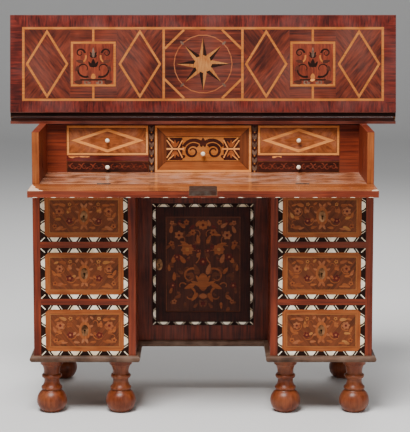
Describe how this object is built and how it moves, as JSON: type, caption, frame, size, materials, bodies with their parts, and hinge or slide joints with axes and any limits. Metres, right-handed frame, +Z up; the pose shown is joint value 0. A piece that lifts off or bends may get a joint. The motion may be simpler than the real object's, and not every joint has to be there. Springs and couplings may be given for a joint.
{
  "type": "pedestal desk",
  "caption": "Kneehole pedestal desk with a folding top turned up, drop flap open, a nest of small drawers, pedestal drawers, a cupboard and turned ball feet.",
  "frame": {"origin": "on the floor, in the middle of the box round the open desk", "axes": "+X to the desk's right as seen from the front, -Y out of the front, +Z up"},
  "size_m": [1.118, 0.6624, 1.1162],
  "materials": {
    "case_veneer": "waxed dark veneer",
    "drawer_veneer": "waxed floral marquetry",
    "small_drawer_veneer": "waxed veneer with light banding",
    "top_veneer": "waxed rosewood parquetry",
    "bed_veneer": "worn waxed veneer",
    "door_veneer": "waxed floral marquetry",
    "lining_wood": "plain planed oak",
    "plain_wood": "plain planed pine",
    "moulding_wood": "worn wax",
    "foot_wood": "dark stained, waxed",
    "brass": "dulled brass",
    "iron": "dark iron",
    "bone": "polished bone"
  },
  "bodies": {
    "carcass": {"left_outer_side": "case_veneer", "right_outer_side": "case_veneer", "left_inner_side": "case_veneer", "right_inner_side": "case_veneer", "kneehole_frame": "case_veneer", "drawer_dividers": "case_veneer", "nest_partitions": "case_veneer", "nest_rails": "case_veneer", "nest_filler_panels": "case_veneer", "nest_pilasters": "case_veneer", "front_feet": "foot_wood", "back_feet": "foot_wood", "pedestal_bottoms": "plain_wood", "cupboard_bottom": "plain_wood", "back_boards": "plain_wood", "plinth_moulding": "moulding_wood", "writing_bed": "bed_veneer", "fixed_top": "top_veneer", "drawer_runners": "lining_wood", "bed_hinge_leaves": "iron", "frame_hinge_leaves": "iron", "lid_hinge_plates": "brass"},
    "lid": {"lid_board": "top_veneer", "lid_hinge_arms": "brass"},
    "flap": {"flap_board": "bed_veneer", "flap_hinge_leaves": "iron", "flap_lock": "iron"},
    "flap_bolt": {"flap_lock_bolt": "iron"},
    "door": {"door_frame": "door_veneer", "door_panel": "door_veneer", "door_hinge_leaves": "iron", "door_lock": "brass"},
    "left_bottom_drawer": {"left_bottom_drawer_front": "drawer_veneer", "left_bottom_drawer_box": "lining_wood", "left_bottom_drawer_lock": "brass"},
    "left_middle_drawer": {"left_middle_drawer_front": "drawer_veneer", "left_middle_drawer_box": "lining_wood", "left_middle_drawer_lock": "brass"},
    "left_top_drawer": {"left_top_drawer_front": "drawer_veneer", "left_top_drawer_box": "lining_wood", "left_top_drawer_lock": "brass"},
    "right_bottom_drawer": {"right_bottom_drawer_front": "drawer_veneer", "right_bottom_drawer_box": "lining_wood", "right_bottom_drawer_lock": "brass"},
    "right_middle_drawer": {"right_middle_drawer_front": "drawer_veneer", "right_middle_drawer_box": "lining_wood", "right_middle_drawer_lock": "brass"},
    "right_top_drawer": {"right_top_drawer_front": "drawer_veneer", "right_top_drawer_box": "lining_wood", "right_top_drawer_lock": "brass"},
    "centre_small_drawer": {"centre_small_drawer": "small_drawer_veneer", "centre_small_drawer_knob": "bone"},
    "left_high_small_drawer": {"left_high_small_drawer": "small_drawer_veneer", "left_high_small_drawer_knob": "bone"},
    "left_low_small_drawer": {"left_low_small_drawer": "small_drawer_veneer", "left_low_small_drawer_knob": "bone"},
    "right_high_small_drawer": {"right_high_small_drawer": "small_drawer_veneer", "right_high_small_drawer_knob": "bone"},
    "right_low_small_drawer": {"right_low_small_drawer": "small_drawer_veneer", "right_low_small_drawer_knob": "bone"}
  },
  "joints": [
    {"name": "lid_hinge", "type": "hinge", "parent": "carcass", "child": "lid", "pos_m": [0, 0.0602, 0.821], "axis": [-1, 0, 0], "range_deg": [-96.5, 83.5]},
    {"name": "flap_hinge", "type": "hinge", "parent": "carcass", "child": "flap", "pos_m": [0, -0.1871, 0.657], "axis": [-1, 0, 0], "range_deg": [0, 90]},
    {"name": "flap_bolt_slide", "type": "slide", "parent": "flap", "child": "flap_bolt", "axis": [0, -1, 0], "range_m": [0, 0.009]},
    {"name": "door_hinge", "type": "hinge", "parent": "carcass", "child": "door", "pos_m": [0.1475, 0.0132, 0.394], "axis": [0, 0, 1], "range_deg": [0, 95]},
    {"name": "left_bottom_drawer_slide", "type": "slide", "parent": "carcass", "child": "left_bottom_drawer", "axis": [0, -1, 0], "range_m": [0, 0.33]},
    {"name": "left_middle_drawer_slide", "type": "slide", "parent": "carcass", "child": "left_middle_drawer", "axis": [0, -1, 0], "range_m": [0, 0.33]},
    {"name": "left_top_drawer_slide", "type": "slide", "parent": "carcass", "child": "left_top_drawer", "axis": [0, -1, 0], "range_m": [0, 0.33]},
    {"name": "right_bottom_drawer_slide", "type": "slide", "parent": "carcass", "child": "right_bottom_drawer", "axis": [0, -1, 0], "range_m": [0, 0.33]},
    {"name": "right_middle_drawer_slide", "type": "slide", "parent": "carcass", "child": "right_middle_drawer", "axis": [0, -1, 0], "range_m": [0, 0.33]},
    {"name": "right_top_drawer_slide", "type": "slide", "parent": "carcass", "child": "right_top_drawer", "axis": [0, -1, 0], "range_m": [0, 0.33]},
    {"name": "centre_small_drawer_slide", "type": "slide", "parent": "carcass", "child": "centre_small_drawer", "axis": [0, -1, 0], "range_m": [0, 0.16]},
    {"name": "left_high_small_drawer_slide", "type": "slide", "parent": "carcass", "child": "left_high_small_drawer", "axis": [0, -1, 0], "range_m": [0, 0.16]},
    {"name": "left_low_small_drawer_slide", "type": "slide", "parent": "carcass", "child": "left_low_small_drawer", "axis": [0, -1, 0], "range_m": [0, 0.16]},
    {"name": "right_high_small_drawer_slide", "type": "slide", "parent": "carcass", "child": "right_high_small_drawer", "axis": [0, -1, 0], "range_m": [0, 0.16]},
    {"name": "right_low_small_drawer_slide", "type": "slide", "parent": "carcass", "child": "right_low_small_drawer", "axis": [0, -1, 0], "range_m": [0, 0.16]}
  ]
}
